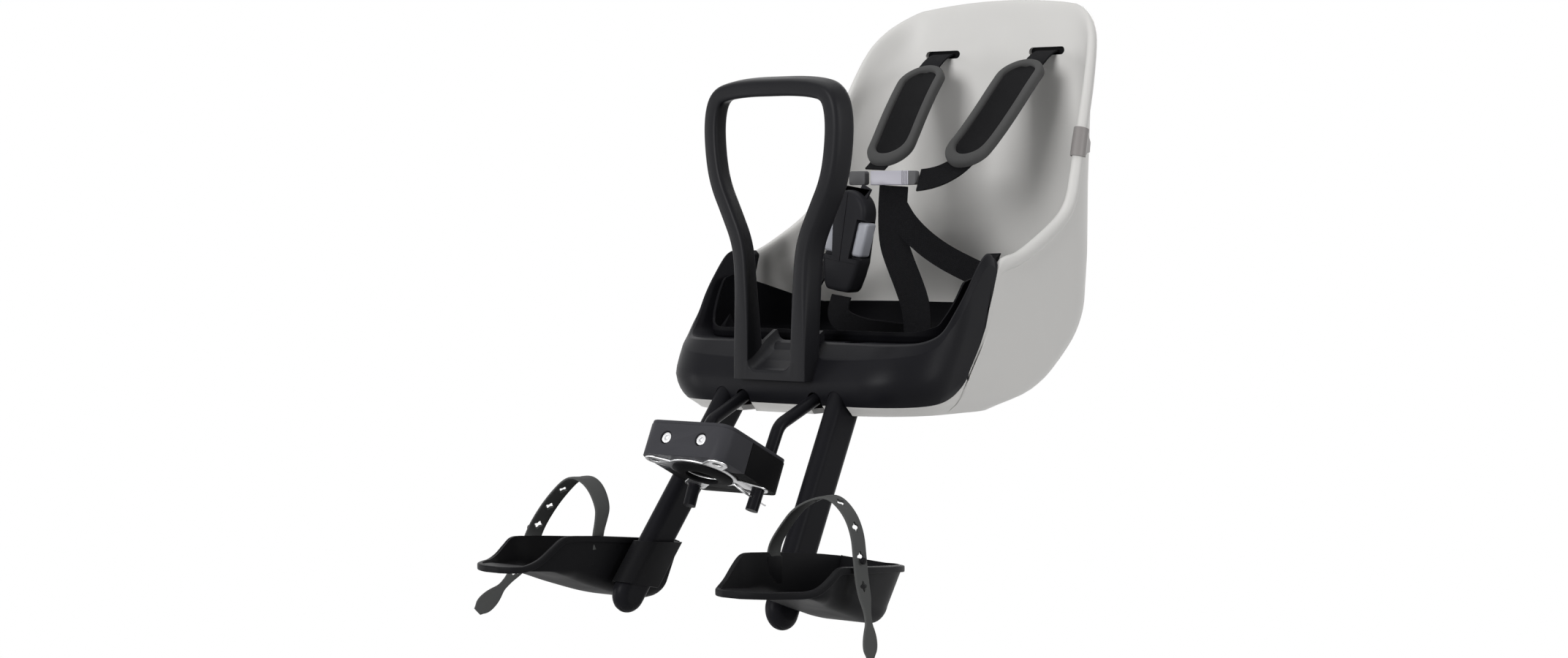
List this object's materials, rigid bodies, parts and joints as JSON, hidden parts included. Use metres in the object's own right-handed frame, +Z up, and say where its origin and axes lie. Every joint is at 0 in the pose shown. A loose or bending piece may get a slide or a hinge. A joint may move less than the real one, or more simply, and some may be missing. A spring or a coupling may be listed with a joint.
{
  "type": "child bike seat",
  "caption": "Front-mounted child bike seat with a one-piece bucket, grab loop, harness, two legs with strapped foot trays, and a steel fork held in a handlebar-stem block.",
  "frame": {"origin": "middle of the handlebar-stem bore in the mounting block", "axes": "+Z up, -Y the way the bicycle and the child face, +X to the right seen from the front, which is what left and right mean in the names; the stem bore leans back 25 degrees"},
  "size_m": [0.4458, 0.6259, 0.6102],
  "materials": {
    "shell_plastic": "fine satin moulding",
    "dark_plastic": "satin moulding",
    "soft_grip": "smooth soft grip",
    "black_steel": "satin powder coat",
    "bare_steel": "zinc plated",
    "black_casting": "satin black paint",
    "grey_casting": "satin dark grey paint",
    "strap_rubber": "matt",
    "pale_plastic": "smooth",
    "grey_plastic": "satin",
    "pad_fabric": "rubberised cloth",
    "webbing": "woven"
  },
  "bodies": {
    "seat": {"seat_shell": "shell_plastic", "base_frame": "dark_plastic", "seat_liner": "dark_plastic", "grab_handle": "soft_grip", "mounting_fork": "black_steel", "fork_clamp": "bare_steel", "leg_left": "dark_plastic", "leg_right": "dark_plastic", "block_body": "black_casting", "block_front": "grey_casting", "block_cover": "dark_plastic", "stem_bush": "dark_plastic", "lower_plate": "bare_steel", "clamp_bolts": "bare_steel", "clamp_nuts": "bare_steel", "retaining_clip": "bare_steel", "shoulder_strap_left": "webbing", "shoulder_strap_right": "webbing", "shoulder_pad_left": "pad_fabric", "shoulder_pad_right": "pad_fabric", "chest_clip": "pale_plastic", "strap_slider_left": "grey_plastic", "strap_slider_right": "grey_plastic", "buckle_body": "dark_plastic", "buckle_tongues": "dark_plastic", "crotch_strap": "webbing", "hip_strap_left": "webbing", "hip_strap_right": "webbing", "adjuster_strap": "webbing", "strap_anchor_left": "bare_steel", "strap_anchor_right": "bare_steel", "wing_clip_left": "grey_plastic", "wing_clip_right": "grey_plastic"},
    "footrest_left_slide": {"footrest_left": "dark_plastic", "foot_strap_left": "strap_rubber", "strap_stud_left": "dark_plastic"},
    "footrest_right_slide": {"footrest_right": "dark_plastic", "foot_strap_right": "strap_rubber", "strap_stud_right": "dark_plastic"},
    "button_left": {"buckle_button_left": "pale_plastic"},
    "button_right": {"buckle_button_right": "pale_plastic"}
  },
  "joints": [
    {"name": "footrest_left_height", "type": "slide", "parent": "seat", "child": "footrest_left_slide", "axis": [0.1078, 0.5688, 0.8154], "range_m": [0, 0.06]},
    {"name": "footrest_right_height", "type": "slide", "parent": "seat", "child": "footrest_right_slide", "axis": [-0.1078, 0.5688, 0.8154], "range_m": [0, 0.06]},
    {"name": "buckle_button_left_press", "type": "slide", "parent": "seat", "child": "button_left", "axis": [0.9877, 0, -0.1564], "range_m": [0, 0.003], "stiffness_N_per_m": 800, "springref_m": -0.002},
    {"name": "buckle_button_right_press", "type": "slide", "parent": "seat", "child": "button_right", "axis": [-0.9877, 0, 0.1564], "range_m": [0, 0.003], "stiffness_N_per_m": 800, "springref_m": -0.002}
  ]
}
